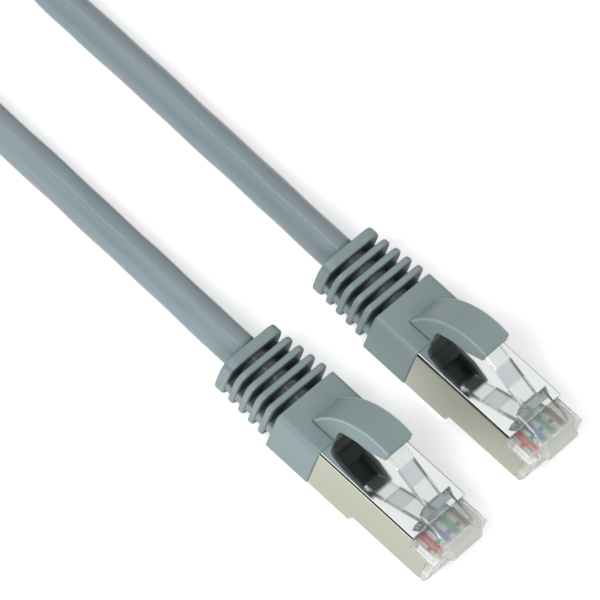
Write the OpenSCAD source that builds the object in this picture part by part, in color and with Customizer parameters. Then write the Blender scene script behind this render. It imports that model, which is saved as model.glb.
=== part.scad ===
// Shielded 8-way patch cable: two modular plugs with latch and hooded boot, and the cable between them.
// +X points to the noses, +Y from plug a to plug b, +Z up through the latches. The plugs lie on Z = 0,
// and the origin is the middle of the two plugs' footprint. Inside a plug's own modules x = 0 is the
// front face of its nose and y = 0 its middle. All sizes are in millimetres.

/* [Layout] */
// Distance between the two plugs' middle planes
plug_spacing = 23.4; // [22:0.2:30]
// How far plug b lies behind plug a
plug_stagger = 2; // [0:0.5:5]

/* [Cable] */
// Outer diameter of the cable jacket
cable_d = 5.6; // [5:0.1:5.8]
// Bore of the cable jacket
jacket_bore_d = 4; // [3.9:0.05:4.4]
// Height of the cable's axis where it leaves the boot
cable_z = 4.75; // [4.65:0.05:4.85]
// Diameter of one insulated conductor
wire_d = 0.88; // [0.8:0.02:0.9]
// Diameter of a conductor's copper core
core_d = 0.5; // [0.4:0.02:0.56]
// Set-back of the conductors' cut ends from the nose
wire_x = 0.9; // [0.85:0.05:1.2]
// Thickness of the foil screen folded over the jacket
foil_t = 0.1; // [0.06:0.01:0.14]
// Diameter of the drain wire
drain_d = 0.24; // [0.16:0.02:0.26]

/* [Housing] */
// Width of the plug over its shield
plug_w = 11.7; // [11.5:0.05:12]
// Height of the shield's top above the table
plug_h = 8.15; // [8.1:0.05:8.3]
// Height of the nose
nose_h = 6.55; // [6.4:0.05:6.7]
// Height of the deeper rear half
belly_h = 8.1; // [7.9:0.05:8.1]
// Length of the clear housing
housing_l = 21.5; // [21:0.1:22]
// Distance from the nose to the step where the rear half gets deeper
belly_x = 14.7; // [14:0.1:16]
// Drop from the shield's top to the bare top of the nose
ledge_drop = 1.4; // [1.3:0.05:1.6]
// Depth of the shallow window in each cheek of the nose
window_depth = 0.25; // [0.15:0.05:0.35]
// Length of the chamfer under the nose's front edge
chin_x = 0.5; // [0.3:0.05:0.8]
// Height of the chamfer under the nose's front edge
chin_z = 1.2; // [0.8:0.05:1.5]

/* [Contacts and conductors] */
// Number of conductors
way_count = 8; // [8:1:8]
// Distance between neighbouring conductors
pitch = 1.02; // [1:0.01:1.04]
// Thickness of a contact blade
blade_t = 0.32; // [0.28:0.01:0.36]
// Length of a contact blade
blade_l = 3.2; // [2.8:0.1:3.4]
// Set-back of the blades from the nose's front
blade_x = 0.7; // [0.5:0.05:0.9]
// Height of the blades' lower edge above the nose's underside
blade_lift = 0.6; // [0.4:0.05:0.8]
// Depth of the conductors' row below the shield's top
wire_drop = 2.9; // [2.8:0.05:3]
// Offset of the load bar's upper and lower rows from the nose's row
bar_stagger = 0.6; // [0.56:0.02:0.66]
// Length of the load bar
bar_l = 2.7; // [2.2:0.1:3]

/* [Shield] */
// Thickness of the shield's sheet
sheet_t = 0.27; // [0.22:0.01:0.3]
// Set-back of the shield's top edge from the nose
shield_top_x = 4.7; // [4.4:0.1:5]
// Set-back of the shield's side walls from the nose
cheek_x = 1.3; // [1.15:0.05:1.6]
// Drop of the side walls' upper edge in front of the top plate
cheek_drop = 2; // [1.7:0.05:2.4]
// Outer radius of the shield's folds
fold_r = 0.4; // [0.35:0.05:0.6]
// Length of the crimp tail round the jacket
tail_l = 4; // [3:0.1:4.6]

/* [Latch] */
// Width of the latch at its catch
latch_w = 6.06; // [5.8:0.02:6.2]
// Width of the release arm
arm_w = 3.25; // [3:0.05:3.5]
// Thickness of the release arm
arm_t = 1; // [0.85:0.05:1.05]
// Radius of the rolled root at the nose
root_r = 1.15; // [1.1:0.01:1.2]
// Reach of the root's axis in front of the nose
root_x = 0.25; // [0.2:0.05:0.3]
// Distance from the nose to the catch's locking face
catch_x = 6.35; // [6.2:0.05:6.5]
// Height of the catch above the shield's top
catch_h = 3.06; // [2.9:0.02:3.2]
// Distance from the nose to the arm's free end
arm_x = 16.2; // [15.8:0.1:16.4]

/* [Boot] */
// Width of the boot's body
boot_w = 12.4; // [12.2:0.1:13]
// Height of the boot's body
boot_h = 8.4; // [8.35:0.05:8.7]
// Length of the boot's body
boot_l = 8.1; // [7.6:0.1:9]
// Gap between the housing's rear and the boot's front face
boot_gap = 1.3; // [1.1:0.1:1.9]
// Radius of the boot body's long edges
boot_r = 1; // [0.8:0.1:1.4]
// Width of the hood over the latch
hood_w = 5.4; // [5.2:0.1:5.8]
// Outer radius of the hood's arch
hood_r = 11; // [10.8:0.1:11.2]
// Thickness of the hood's roof
hood_t = 1.4; // [1.2:0.05:1.5]
// Distance from the nose to the hood's front edge
hood_x = 14.5; // [14.2:0.1:14.8]
// Height of the hood's flexing root above the shield's top
hood_root_z = 3.4; // [3.2:0.05:3.5]
// Radius of the hood's flexing root
hood_root_r = 1.5; // [1.4:0.05:1.55]

/* [Strain relief] */
// Length of the ribbed strain relief
relief_l = 11.1; // [10.8:0.1:12]
// Number of thin ribs in front of the end collar
rib_count = 4; // [3:1:4]
// Thickness of a rib
rib_t = 1; // [0.8:0.05:1.2]
// Thickness of the end collar
collar_t = 1.7; // [1.4:0.1:2]
// Width of the rib next to the boot's body
rib_w = 12.4; // [12:0.1:12.8]
// Width of the end collar
collar_w = 11.7; // [11.2:0.1:12.2]
// Height of the rib next to the boot's body
rib_h = 7.1; // [6.8:0.1:7.3]
// Height of the end collar
collar_h = 7.3; // [7:0.1:7.6]
// Corner radius of the rib next to the boot's body
rib_r = 1.1; // [0.8:0.1:1.6]
// Corner radius of the end collar
collar_r = 2.1; // [1.6:0.1:2.6]
// Height of the webs that join the ribs on both sides
web_h = 2.6; // [2:0.1:3.4]

/* [Coil] */
// Radius of the coil's outermost turn
coil_r = 33.4; // [32:0.1:36]
// Step from one turn to the next one inwards
coil_pitch = 6.2; // [6.1:0.1:7]
// Step from the lower layer of turns to the upper one
coil_layer = 6.1; // [6.1:0.1:7]

/* [Hidden] */
PLUG_NODES = ["housing", "latch", "contacts", "load_bar", "cores", "jacket_end", "foil_wrap", "drain_wire",
              "shield", "boot", "hood"];
WIRES = [["white_orange", "#efc9a4"], ["orange", "#e0662b"], ["white_green", "#c3dfc4"], ["blue", "#3a62a8"],
         ["white_blue", "#c4d2ea"], ["green", "#2f9e63"], ["white_brown", "#dcc9b8"], ["brown", "#7d5138"]];
$fn = 48;

fit = 0.03;          // gap between pieces that sit in each other
hinge_fit = 0.05;    // gap round a root that turns
over = 0.1;          // overshoot of a cut past a face

nose_z = plug_h - nose_h;
core_w = plug_w - 2 * (sheet_t + fit);
core_top = plug_h - sheet_t - fit;
ledge_z = plug_h - ledge_drop;
boot_x = housing_l + boot_gap;
wire_z = plug_h - wire_drop;
channel_d = pitch + 0.06;
channel_x = 6.5;
bar_x = 8;
bar_h = 2 * bar_stagger + 2;
bar_w = way_count * pitch + 0.9;
cavity_w = bar_w + 2 * fit;
jacket_x = housing_l + fit;
bundle_r = 1.3;
bundle_inset = 4;    // from the housing's rear to where the conductors meet
bundle_x = housing_l - bundle_inset;

root_drop = 0.95;
root_z = plug_h - root_drop;
foil_r = cable_d / 2 + fit + foil_t;
tail_r = foil_r + fit + sheet_t;
tail_x = boot_x + 0.5;
strap_w = 3;
strap_z = max(cable_z + tail_r, plug_h - sheet_t + over);
relief_x = boot_x + boot_l;
collar_end = relief_x + relief_l;
hood_c_inset = 2.4;  // from the hood's front edge back to the arch's centre
hood_c_drop = 3.65;  // from the shield's top down to the arch's centre
hood_c = [-(hood_x + hood_c_inset), plug_h - hood_c_drop];
hood_root = [-boot_x, plug_h + hood_root_z];

nose_a = [(collar_end + plug_stagger - root_x - root_r) / 2, -plug_spacing / 2, 0];
nose_b = [nose_a[0] - plug_stagger, plug_spacing / 2, 0];

// ---------------------------------------------------------------- shared shapes

// Extrudes a side view (x, z) across the plug
module across(width) rotate([90, 0, 0]) linear_extrude(width, center = true) children();

// Extrudes a cross-section (y, z) forwards from x
module along(x, length) translate([x, 0, 0]) rotate([90, 0, 90]) linear_extrude(length) children();

// Round bar along the plug, from x forwards, at height z
module rod(x, length, z, d) translate([x, 0, z]) rotate([0, 90, 0]) cylinder(length, d = d);

// Round bar across the plug
module roller(x, z, r, width) translate([x, 0, z]) rotate([90, 0, 0]) cylinder(width, r = r, center = true);

// Block from x0 to x1 and z0 to z1, centred across the plug
module block(x0, x1, width, z0, z1) translate([x0, -width / 2, z0]) cube([x1 - x0, width, z1 - z0]);

// Rectangle centred on y, from z0 up, with round corners
module round_rect(w, h, r, z0) translate([-w / 2, z0]) {
    translate([r, 0]) square([w - 2 * r, h]);
    translate([0, r]) square([w, h - 2 * r]);
    for (x = [r, w - r], y = [r, h - r]) translate([x, y]) circle(r);
}

function unit(v) = v / norm(v);
function heading(p, i) = unit(p[min(i + 1, len(p) - 1)] - p[max(i - 1, 0)]);

// Tube of n flat sides with one ring at each point of a path
module tube(path, r, n) {
    rings = len(path);
    points = [for (i = [0 : rings - 1], k = [0 : n - 1])
        let (ahead = heading(path, i), side = unit(cross(ahead, [0, 0, 1])), up = cross(side, ahead),
             a = 360 * k / n - 90)
        path[i] + r * (cos(a) * side + sin(a) * up)];
    walls = [for (i = [0 : rings - 2], k = [0 : n - 1])
        let (a = i * n + k, b = i * n + (k + 1) % n)
        each [[a, b, b + n], [a, b + n, a + n]]];
    last = (rings - 1) * n;
    ends = [for (k = [1 : n - 2]) each [[0, k + 1, k], [last, last + k, last + k + 1]]];
    polyhedron(points, concat(walls, ends));
}

// ---------------------------------------------------------------- conductors

function row_y(i) = (i - (way_count - 1) / 2) * pitch;
function is_upper(i) = i % 2 == 1;
function bar_row_z(i) = wire_z + (is_upper(i) ? bar_stagger : -bar_stagger);

// Place of a conductor in the round bundle inside the jacket
function bundle_angle(i) = (is_upper(i) ? 157.5 : 202.5) + (is_upper(i) ? -45 : 45) * floor(i / 2);
function wire_path(i, x_front, x_rear) = let (
        y = row_y(i),
        bar_row = bar_row_z(i),
        bundle = [bundle_r * cos(bundle_angle(i)), cable_z + bundle_r * sin(bundle_angle(i))])
    [[x_front, y, wire_z], [-channel_x + 0.2, y, wire_z],
     [-bar_x + 0.2, y, bar_row], [-bar_x - bar_l - 0.2, y, bar_row],
     [-bundle_x, bundle[0], bundle[1]], [x_rear, bundle[0], bundle[1]]];

wire_front = -wire_x;
wire_rear = -collar_end + 1;
rib_top = boot_h;
window_rim = 0.4;    // rim round a cheek's window, and the radius of its corners
web_inset = 0.5;
crease = 0.2;        // open crease in front of the hood's foot

module wire(i) color(WIRES[i][1]) difference() {
    tube(wire_path(i, wire_front, wire_rear), wire_d / 2, 8);
    tube(wire_path(i, wire_front + over, wire_rear - over), core_d / 2, 8);
    translate([0, row_y(i), 0]) blade(fit);
}

module cores() color("#c9773f") for (i = [0 : way_count - 1])
    tube(wire_path(i, wire_front, wire_rear), core_d / 2 - fit / 2, 8);

// ---------------------------------------------------------------- plug body

blade_top = wire_z - core_d / 2 - fit;

// One contact blade: a plate with a low shoulder in front and two teeth that enter the conductor
module blade(gap) across(blade_t + 2 * gap) {
    low = nose_z + blade_lift - gap;
    shoulder = wire_z - wire_d / 2 - fit;
    tooth_l = blade_l / 5;
    translate([-blade_x - blade_l - gap, low]) square([blade_l + 2 * gap, shoulder - low]);
    for (k = [0, 1]) translate([-blade_x - (k * 2 + 1.6) * tooth_l - gap, low])
        square([tooth_l + 2 * gap, blade_top - low + gap / 2]);
}

module contacts() color("#d6ab45") for (i = [0 : way_count - 1]) translate([0, row_y(i), 0]) blade(0);

module housing_side() polygon([
    [-housing_l, plug_h - belly_h + sheet_t + fit], [-belly_x, plug_h - belly_h + sheet_t + fit],
    [-belly_x, nose_z], [-chin_x, nose_z], [0, nose_z + chin_z],
    [0, ledge_z], [fit - shield_top_x, ledge_z], [fit - shield_top_x, core_top], [-housing_l, core_top]]);

// Shallow window with round corners in one cheek's top
module cheek_window(way) translate([-shield_top_x + window_rim, 0, ledge_z - window_depth])
    linear_extrude(window_depth + over)
        translate([0, way * (latch_w + plug_w) / 4])
            rotate(-90) round_rect((plug_w - latch_w) / 2 - 2 * window_rim,
                                   shield_top_x - 2 * window_rim, window_rim, 0);

module housing() color("#dfe8e8") difference() {
    union() {
        across(core_w) housing_side();
        // the nose's front end and bare cheeks are as wide as the shield
        intersection() {
            across(plug_w) housing_side();
            union() {
                block(-cheek_x + fit, over, plug_w + over, nose_z - over, plug_h);
                block(fit - shield_top_x, over, plug_w + over, plug_h - cheek_drop + fit, plug_h);
            }
        }
    }
    for (way = [-1, 1]) cheek_window(way);
    // seat of the latch's rolled root
    roller(root_x, root_z, root_r + hinge_fit, latch_w + 2 * window_rim);
    // row of conductor channels, run together
    for (i = [0 : way_count - 1]) {
        translate([0, row_y(i), 0]) rod(-channel_x - over, channel_x + over + wire_front + over, wire_z, channel_d);
        translate([0, row_y(i), 0])
            block(-blade_x - blade_l - 0.2, over, blade_t + 2 * fit, nose_z - over, wire_z);
    }
    // pocket of the load bar and mouth behind it
    block(-bar_x - bar_l - 0.3, -channel_x, cavity_w, wire_z - bar_h / 2 - fit, wire_z + bar_h / 2 + fit);
    block(-housing_l - over, -bar_x - bar_l - 0.2, cavity_w, cable_z - 2.4, wire_z + bar_h / 2 + fit);
}

module load_bar() color("#e9edec") difference() {
    block(-bar_x - bar_l, -bar_x, bar_w, wire_z - bar_h / 2, wire_z + bar_h / 2);
    for (i = [0 : way_count - 1]) translate([0, row_y(i), 0])
        rod(-bar_x - bar_l - over, bar_l + 2 * over, bar_row_z(i), wire_d + 0.12);
}

module shield() color("#c9c7bd") {
    difference() {
        union() {
            along(-boot_x, boot_x - belly_x) round_rect(plug_w, belly_h, fold_r, plug_h - belly_h);
            along(-belly_x - over, belly_x + over - cheek_x)
                round_rect(plug_w, nose_h + fold_r, fold_r, nose_z - fold_r);
        }
        block(-boot_x - over, over, plug_w - 2 * sheet_t, plug_h - belly_h + sheet_t, plug_h - sheet_t);
        // the nose's underside and its top corners stay bare
        block(-belly_x, over, plug_w + over, nose_z - 2 * fold_r, nose_z);
        block(-belly_x, over, plug_w - 2 * sheet_t, nose_z - over, nose_z + 1);
        block(-shield_top_x, over, plug_w + over, plug_h - cheek_drop, plug_h + over);
    }
    // crimp tail round the jacket, open underneath, and the strap that carries it
    difference() {
        rod(-tail_x - tail_l, tail_l, cable_z, 2 * tail_r);
        rod(-tail_x - tail_l - over, tail_l + 2 * over, cable_z, 2 * (tail_r - sheet_t));
        block(-tail_x - tail_l - over, over - tail_x, 2, 0, cable_z);
    }
    block(-tail_x - 0.4, -boot_x + 0.6, strap_w, cable_z + tail_r - sheet_t, strap_z);
}

module jacket_end() color("#8e9ba2") difference() {
    rod(-collar_end, collar_end - jacket_x, cable_z, cable_d);
    rod(wire_rear - 0.2, -wire_rear, cable_z, jacket_bore_d);
}

foil_rear = tail_x + tail_l + 0.4;
foil_l = foil_rear - jacket_x - 0.5;

module foil_wrap() color("#c4c8cb") difference() {
    rod(-foil_rear, foil_l, cable_z, 2 * foil_r);
    rod(-foil_rear - over, foil_l + 2 * over, cable_z, cable_d + 2 * fit);
}

module drain_wire() color("#b9bcbf")
    rod(-tail_x - tail_l, tail_l + tail_x - jacket_x - 0.5, cable_z - foil_r - fit - drain_d / 2, drain_d);

// ---------------------------------------------------------------- latch

plate_x = 2.77;      // bend in the plate's upper face
plate_rise = 1.41;
ramp_l = 1.28;       // ramp in front of the catch
ramp_rise = 1.84;
throat_x = 2.9;      // bend in the plate's lower face
throat_rise = 0.62;
arm_rise = 2.3;      // from the shield's top to the arm's upper face, at the catch
arm_slope = 0.385;
arm_bend = 2.1;      // from the arm's free end to where it levels off
arm_lap = 0.6;
arm_tip = 0.3;
flat_inset = 5.2;    // from the arm's free end to the middle of its finger flat
flat_l = 2.9;
flat_depth = 0.15;
arm_bend_x = arm_x - arm_bend;
flat_x = arm_x - flat_inset;
function arm_top_z(x) = plug_h + arm_rise - arm_slope * (x + catch_x);

// Side view of the wide front half: rolled root, sloping plate, ramp and catch
module latch_front_side() {
    translate([root_x, root_z]) circle(root_r);
    polygon([
        [root_x + root_r / 3, root_z + 0.94 * root_r], [-plate_x, plug_h + plate_rise],
        [ramp_l - catch_x, plug_h + ramp_rise], [-catch_x, plug_h + catch_h],
        [-catch_x, arm_top_z(-catch_x) - arm_t], [-throat_x, plug_h + throat_rise],
        [root_x - 0.91 * root_r, root_z + 0.17 * root_r], [root_x, root_z]]);
}

// Side view of the narrow arm, which levels off towards its free end
module latch_arm_side() let (lap_x = arm_lap - catch_x, tip_z = arm_top_z(-arm_bend_x)) polygon([
    [lap_x, arm_top_z(lap_x)], [-arm_bend_x, tip_z], [arm_tip - arm_x, tip_z + arm_tip], [-arm_x, tip_z],
    [-arm_x, tip_z + arm_tip - arm_t], [arm_tip - arm_x, tip_z - arm_t],
    [-arm_bend_x, tip_z - arm_t], [lap_x, arm_top_z(lap_x) - arm_t]]);

module latch() color("#e3ebea") difference() {
    union() {
        across(latch_w) latch_front_side();
        across(arm_w) latch_arm_side();
    }
    // shallow flat across the arm where a finger presses
    translate([-flat_x, 0, arm_top_z(-flat_x)]) rotate([0, atan(arm_slope), 0])
        cube([flat_l, arm_w + over, 2 * flat_depth], center = true);
}

// ---------------------------------------------------------------- boot

// Side view of the hood's whole arch, from the boot's top to the front edge
module arch_side() intersection() {
    translate(hood_c) circle(hood_r, $fn = 96);
    translate([-relief_x, boot_h - over]) square([relief_x - hood_x, hood_r]);
}

module boot_body() {
    along(-relief_x, boot_l) round_rect(boot_w, boot_h, boot_r, 0);
    // fixed foot of the hood, hollowed for its flexing root
    difference() {
        across(hood_w) arch_side();
        block(-boot_x, 0, hood_w + over, 0, 2 * plug_h + hood_r);
        roller(hood_root[0], hood_root[1], hood_root_r + hinge_fit, hood_w + over);
    }
}

function rib_share(k) = k / rib_count;
function rib_mix(first, last, k) = first + (last - first) * rib_share(k);
rib_gap = (relief_l - collar_t - rib_count * rib_t) / (rib_count + 1);
function rib_front(k) = -relief_x - (k + 1) * rib_gap - k * rib_t;

// Ribs and end collar, each a rounded plate round the cable, with open slots between them
module strain_relief() for (k = [0 : rib_count]) {
    thick = k == rib_count ? collar_t : rib_t;
    w = rib_mix(rib_w, collar_w, k);
    h = rib_mix(rib_h, collar_h, k);
    along(rib_front(k) - thick, thick) round_rect(w, h, rib_mix(rib_r, collar_r, k), rib_top - h);
    // webs on both sides that join it to what is in front of it
    for (s = [0, 1]) mirror([0, s, 0]) translate([rib_front(k) - over, cable_d / 2, cable_z - web_h / 2])
        cube([rib_gap + 2 * over, (w - cable_d) / 2 - web_inset, web_h]);
}

module boot() color("#7f8d94") difference() {
    union() {
        boot_body();
        strain_relief();
    }
    rod(-tail_x - tail_l - 0.6, tail_l + 2, cable_z, 2 * (tail_r + fit));
    block(-tail_x - 0.5, over - boot_x, strap_w + 2 * fit, cable_z, strap_z + fit);
    rod(-collar_end - over, relief_l + boot_l + 1, cable_z, cable_d + 2 * fit);
}

skirt_inset = 0.5;
skirt_drop = 6.3;
skirt_c = [hood_c[0] - skirt_inset, plug_h - skirt_drop];
skirt_r = hood_r - 0.5;
lip_rise = 5.4;
hood_lip_z = plug_h + lip_rise;
hollow_run = 3.6;    // room behind the arm's free end

module hood() color("#7f8d94") difference() {
    union() {
        difference() {
            across(hood_w) arch_side();
            block(-relief_x - over, crease - boot_x, hood_w + over, 0, 2 * plug_h + hood_r);
            // lower edge of the side skirts: an arc, then a rise to the front lip
            roller(skirt_c[0], skirt_c[1], skirt_r, hood_w + over);
            across(hood_w + over) polygon([[skirt_c[0], 0], [skirt_c[0], skirt_c[1] + skirt_r - over],
                                           [-hood_x - 0.2, hood_lip_z], [0, hood_lip_z], [0, 0]]);
        }
        roller(hood_root[0], hood_root[1], hood_root_r, hood_w);
    }
    // hollow that holds the end of the latch's arm
    intersection() {
        roller(hood_c[0], hood_c[1], hood_r - hood_t, arm_w + 0.8);
        block(-arm_x - hollow_run, 0, arm_w + 1, 0, 3 * plug_h);
    }
}

// ---------------------------------------------------------------- free cable

cord_r = cable_d / 2;

// The coil spirals in on the table, climbs one layer in a half turn, and spirals out again
coil_c = [-132, 1.6];
coil_from = -52.5;
coil_turns = 4 + coil_from / 180;
coil_climb_turns = 0.5;
coil_turns_in = (coil_turns - coil_climb_turns) / 2;
climb_dip = 0.9;
loop_rings = 24;

function climb(t) = min(max((t - coil_turns_in) / coil_climb_turns, 0), 1);
function coil_radius(t) = coil_r - climb_dip * sin(180 * climb(t))
    - coil_pitch * min(t, coil_turns_in, coil_turns - t);
function coil_height(t) = cord_r + coil_layer * (1 - cos(180 * climb(t))) / 2;
function coil_point(t) = let (a = coil_from - 360 * t)
    [coil_c[0] + coil_radius(t) * cos(a), coil_c[1] + coil_radius(t) * sin(a), coil_height(t)];
function coil_heading(t) = let (a = coil_from - 360 * t) [sin(a), -cos(a), 0];
coil_start = coil_point(0) - cable_d * coil_heading(0);
coil_end = coil_point(coil_turns) + cable_d * coil_heading(coil_turns);
coil_path = concat([coil_start],
                   [for (k = [0 : coil_turns * loop_rings]) coil_point(k / loop_rings)],
                   [coil_end]);

// Each stretch leaves its boot straight, sinks to the table and swings out to meet the coil
exit_a = [nose_a[0] - collar_end, nose_a[1], cable_z];
exit_b = [nose_b[0] - collar_end, nose_b[1], cable_z];
route_a = [exit_a, exit_a - [cable_d, 0, 0], [-34, -11.3, 4.3], [-42, -10.7, 3.5], [-50, -10.3, 2.9],
    [-58, -10.1, 2.8], [-66, -10.1, 2.8], [-74, -10.1, 2.8], [-82, -10.1, 2.8], [-88, -10.6, 2.8],
    [-93, -11.9, 2.8], [-97.7, -14.2, 2.8], coil_start - cable_d * coil_heading(0), coil_start];
route_b = [exit_b, exit_b - [cable_d, 0, 0], [-36, 12.1, 4.3], [-44, 12.7, 3.5], [-52, 13.1, 2.9],
    [-60, 13.3, 2.8], [-68, 13.3, 2.8], [-76, 13.3, 2.8], [-82, 13.3, 3], [-88, 13.8, 4.2],
    [-93, 15.1, 6], [-97.7, 17.4, 7.8], coil_end + cable_d * coil_heading(coil_turns), coil_end];

function path_length(p, i = 1) = i < len(p) ? norm(p[i] - p[i - 1]) + path_length(p, i + 1) : 0;

// Least gap between turns that lie half a turn or more apart along the coil
function coil_gap() = min([for (i = [1 : len(coil_path) - 1 - loop_rings / 2])
    min([for (j = [i + loop_rings / 2 : len(coil_path) - 1]) norm(coil_path[i] - coil_path[j])])]) - cable_d;

echo(str("free cable length ", path_length(route_a) + path_length(coil_path) + path_length(route_b), " mm"));
echo(str("least gap between the coil's turns ", coil_gap(), " mm"));

module cord_stretch(route) color("#8e9ba2") tube(route, cord_r, 12);

module cord_coil() color("#8e9ba2") tube(coil_path, cord_r, 6);

// ---------------------------------------------------------------- assembly

for (plug = [["a", nose_a], ["b", nose_b]]) {
    at = plug[1];
    translate(at) housing();
    translate(at) latch();
    translate(at) contacts();
    translate(at) load_bar();
    translate(at) cores();
    translate(at) jacket_end();
    translate(at) foil_wrap();
    translate(at) drain_wire();
    translate(at) shield();
    translate(at) boot();
    translate(at) hood();
    for (i = [0 : way_count - 1])
        translate(at) wire(i);
}
cord_stretch(route_a);  // cord_stretch_a
cord_coil();
cord_stretch(route_b);  // cord_stretch_b
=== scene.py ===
"""Shielded patch cable: models and finishes both plugs and the cable around the CAD frame."""

import math

import bmesh
import bpy
from bpy.props import FloatProperty, FloatVectorProperty, IntProperty, PointerProperty
from mathutils import Matrix, Vector


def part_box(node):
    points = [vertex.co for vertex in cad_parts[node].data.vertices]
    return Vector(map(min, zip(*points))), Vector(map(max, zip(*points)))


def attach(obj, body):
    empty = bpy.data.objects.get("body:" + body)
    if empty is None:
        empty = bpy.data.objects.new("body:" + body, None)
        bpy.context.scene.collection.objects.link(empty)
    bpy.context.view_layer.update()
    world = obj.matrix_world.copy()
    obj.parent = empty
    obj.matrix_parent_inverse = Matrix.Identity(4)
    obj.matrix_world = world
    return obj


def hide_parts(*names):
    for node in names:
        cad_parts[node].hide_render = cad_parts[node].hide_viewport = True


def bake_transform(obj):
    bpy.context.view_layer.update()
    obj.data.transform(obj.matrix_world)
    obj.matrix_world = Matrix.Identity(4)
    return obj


bl_info = {
    "name": "Shielded patch cable",
    "version": (1, 0, 0),
    "blender": (4, 5, 0),
    "location": "3D View > Sidebar > Patch cable",
    "description": "Models and finishes a shielded patch cable around its CAD frame",
    "category": "Object",
}

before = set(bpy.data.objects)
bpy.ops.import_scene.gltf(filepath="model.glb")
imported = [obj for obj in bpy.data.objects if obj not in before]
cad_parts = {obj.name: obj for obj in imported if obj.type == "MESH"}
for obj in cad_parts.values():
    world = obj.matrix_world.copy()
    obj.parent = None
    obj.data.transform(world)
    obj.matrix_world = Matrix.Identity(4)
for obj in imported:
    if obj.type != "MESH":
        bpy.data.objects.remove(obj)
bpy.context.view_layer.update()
SIDES = ("a", "b")
MM = 0.001


def plug_origin(side):
    """Front of a plug's nose, on the table and midway across."""
    low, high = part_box("housing_" + side)
    return Vector((high[0], (low[1] + high[1]) / 2, 0))


# ------------------------------------------------------------------ sizes, in millimetres
# In a plug, x runs forward to 0 at the nose, y across from the middle, and z up from the table.

# Cable, its height in the boot, and the boot's end
CORD_D = 5.6
CORD_R = CORD_D / 2
CABLE_Z = 4.75
COLLAR_END = 42.0

# Housing, shield and the eight ways
NOSE_TOP = 6.75
NOSE_LOW = 1.6
CORE_W = 11.1
PLUG_W = 11.7
PLUG_TOP = 8.15
SHIELD_TOP_X = -4.7
STEP_X = -14.7
SHEET = 0.27
FOLD_R = 0.4
WIRE_Z = 5.25
WAYS = 8
PITCH = 1.02

# Latch: rolled root, sloping arm with its finger flat, and catch
ROOT_CENTRE = (0.25, 7.2)
ROOT_R = 1.15
LATCH_W = 6.06
ARM_W = 3.25
ARM_SLOPE = 0.385
ARM_FROM = -5.75
CATCH_X = -6.35
FLAT_X = -11
FLAT_HALF = 1.45

# Boot, strain relief and hood, and the span across the hood's root where the faces are split
BOOT_X = -22.8
BOOT_W = 12.4
BOOT_TOP = 8.4
RELIEF_X = -30.9
RIBS = 4
RIB_GAP = 1.08
HOOD_CENTRE = (-16.9, 4.5)
HOOD_R = 11.0
HOOD_W = 5.4
HOLLOW_R = HOOD_R - 1.4
HOLLOW_W = 4.05
HEEL_X = -27.1
SKIRT_CENTRE = (-17.4, 1.85)
SKIRT_R = 10.5
BEND_START = Vector((-24.3, 0, 9.5))
BEND_END = Vector((-21.5, 0, 12.3))


# ------------------------------------------------------------------ settings


def colour(name, default, description):
    """Colour property with alpha left out."""
    return FloatVectorProperty(
        name=name, description=description, default=default, subtype="COLOR", size=3, min=0, max=1
    )


def share(name, default, description):
    """Property from 0 to 1."""
    return FloatProperty(
        name=name, description=description, default=default, min=0, max=1, subtype="FACTOR"
    )


def length(name, default, description):
    """Size in millimetres, as the plugs are modelled."""
    return FloatProperty(name=name, description=description, default=default, min=0)


def power(name, default, description):
    """Power of a lamp."""
    return FloatProperty(name=name, description=description, default=default, min=0, unit="POWER")


class JacketSettings(bpy.types.PropertyGroup):
    """Finish of the cable's jacket."""

    tint: colour("Jacket colour", (0.208, 0.259, 0.286), "Grey of the cable's jacket")
    gloss: share("Jacket roughness", 0.22, "Roughness between the lengthwise streaks")
    ridge: length("Pair ridge", 0.06, "How far the twisted pairs show through the jacket, in mm")
    lay: length("Pair lay", 46, "Length of one turn of the pairs, in mm")
    ring_step: length("Ring step", 1.1, "Distance between two rings of the cord's mesh, in mm")
    ring_sides: IntProperty(
        name="Ring sides", description="Sides of the cord's mesh", default=32, min=8
    )


class BootSettings(bpy.types.PropertyGroup):
    """Sizes and finish of the moulded boots."""

    tint: colour("Boot colour", (0.213, 0.272, 0.281), "Grey of the moulded boots")
    gloss: share("Boot roughness", 0.42, "Roughness of the moulded surface")
    edge: length("Edge radius", 0.22, "Radius of the boot's moulded edges, in mm")
    hood_edge: length("Hood edge radius", 0.22, "Radius of the hood's long edges, in mm")
    rib_edge: length("Rib edge radius", 0.3, "Radius of the ribs' edges, in mm")


class MetalSettings(bpy.types.PropertyGroup):
    """Finish of the plated shield."""

    tint: colour("Plating colour", (0.80, 0.83, 0.80), "Colour of the nickel plating")
    # Painted reflection: a darker, warmer plating colour on the plug's sides stands in for what
    # they mirror.
    side_reflection_tint: colour("Side colour", (0.438, 0.443, 0.37), "Warmer tone on the plug's sides")
    gloss: share("Plating roughness", 0.07, "Roughness of the plated sheet")
    edge: length("Sheet edge radius", 0.05, "Radius of the sheet's cut edges, in mm")


class ClearSettings(bpy.types.PropertyGroup):
    """Finish of the clear housing and latch."""

    tint: colour("Clear tint", (0.90, 0.935, 0.92), "Tint of the clear plastic")
    gloss: share("Clear roughness", 0.06, "Roughness of the polished plastic")
    edge: length("Clear edge radius", 0.12, "Radius of the clear pieces' edges, in mm")


class StageSettings(bpy.types.PropertyGroup):
    """Light, floor and camera."""

    floor_tint: colour("Floor colour", (0.9, 0.9, 0.9), "Colour of the floor")
    sky: share("Sky level", 0.43, "Strength of the even light from all round")
    key: power("Key light", 12.0, "Power of the soft side light")
    front: power("Front light", 5.0, "Power of the soft front light")
    strip: FloatProperty(
        name="Strip level", description="Strength of the long glint", default=3.0, min=0
    )
    lens: FloatProperty(
        name="Lens", description="Focal length of the camera, in mm", default=480.2, min=1
    )


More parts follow.
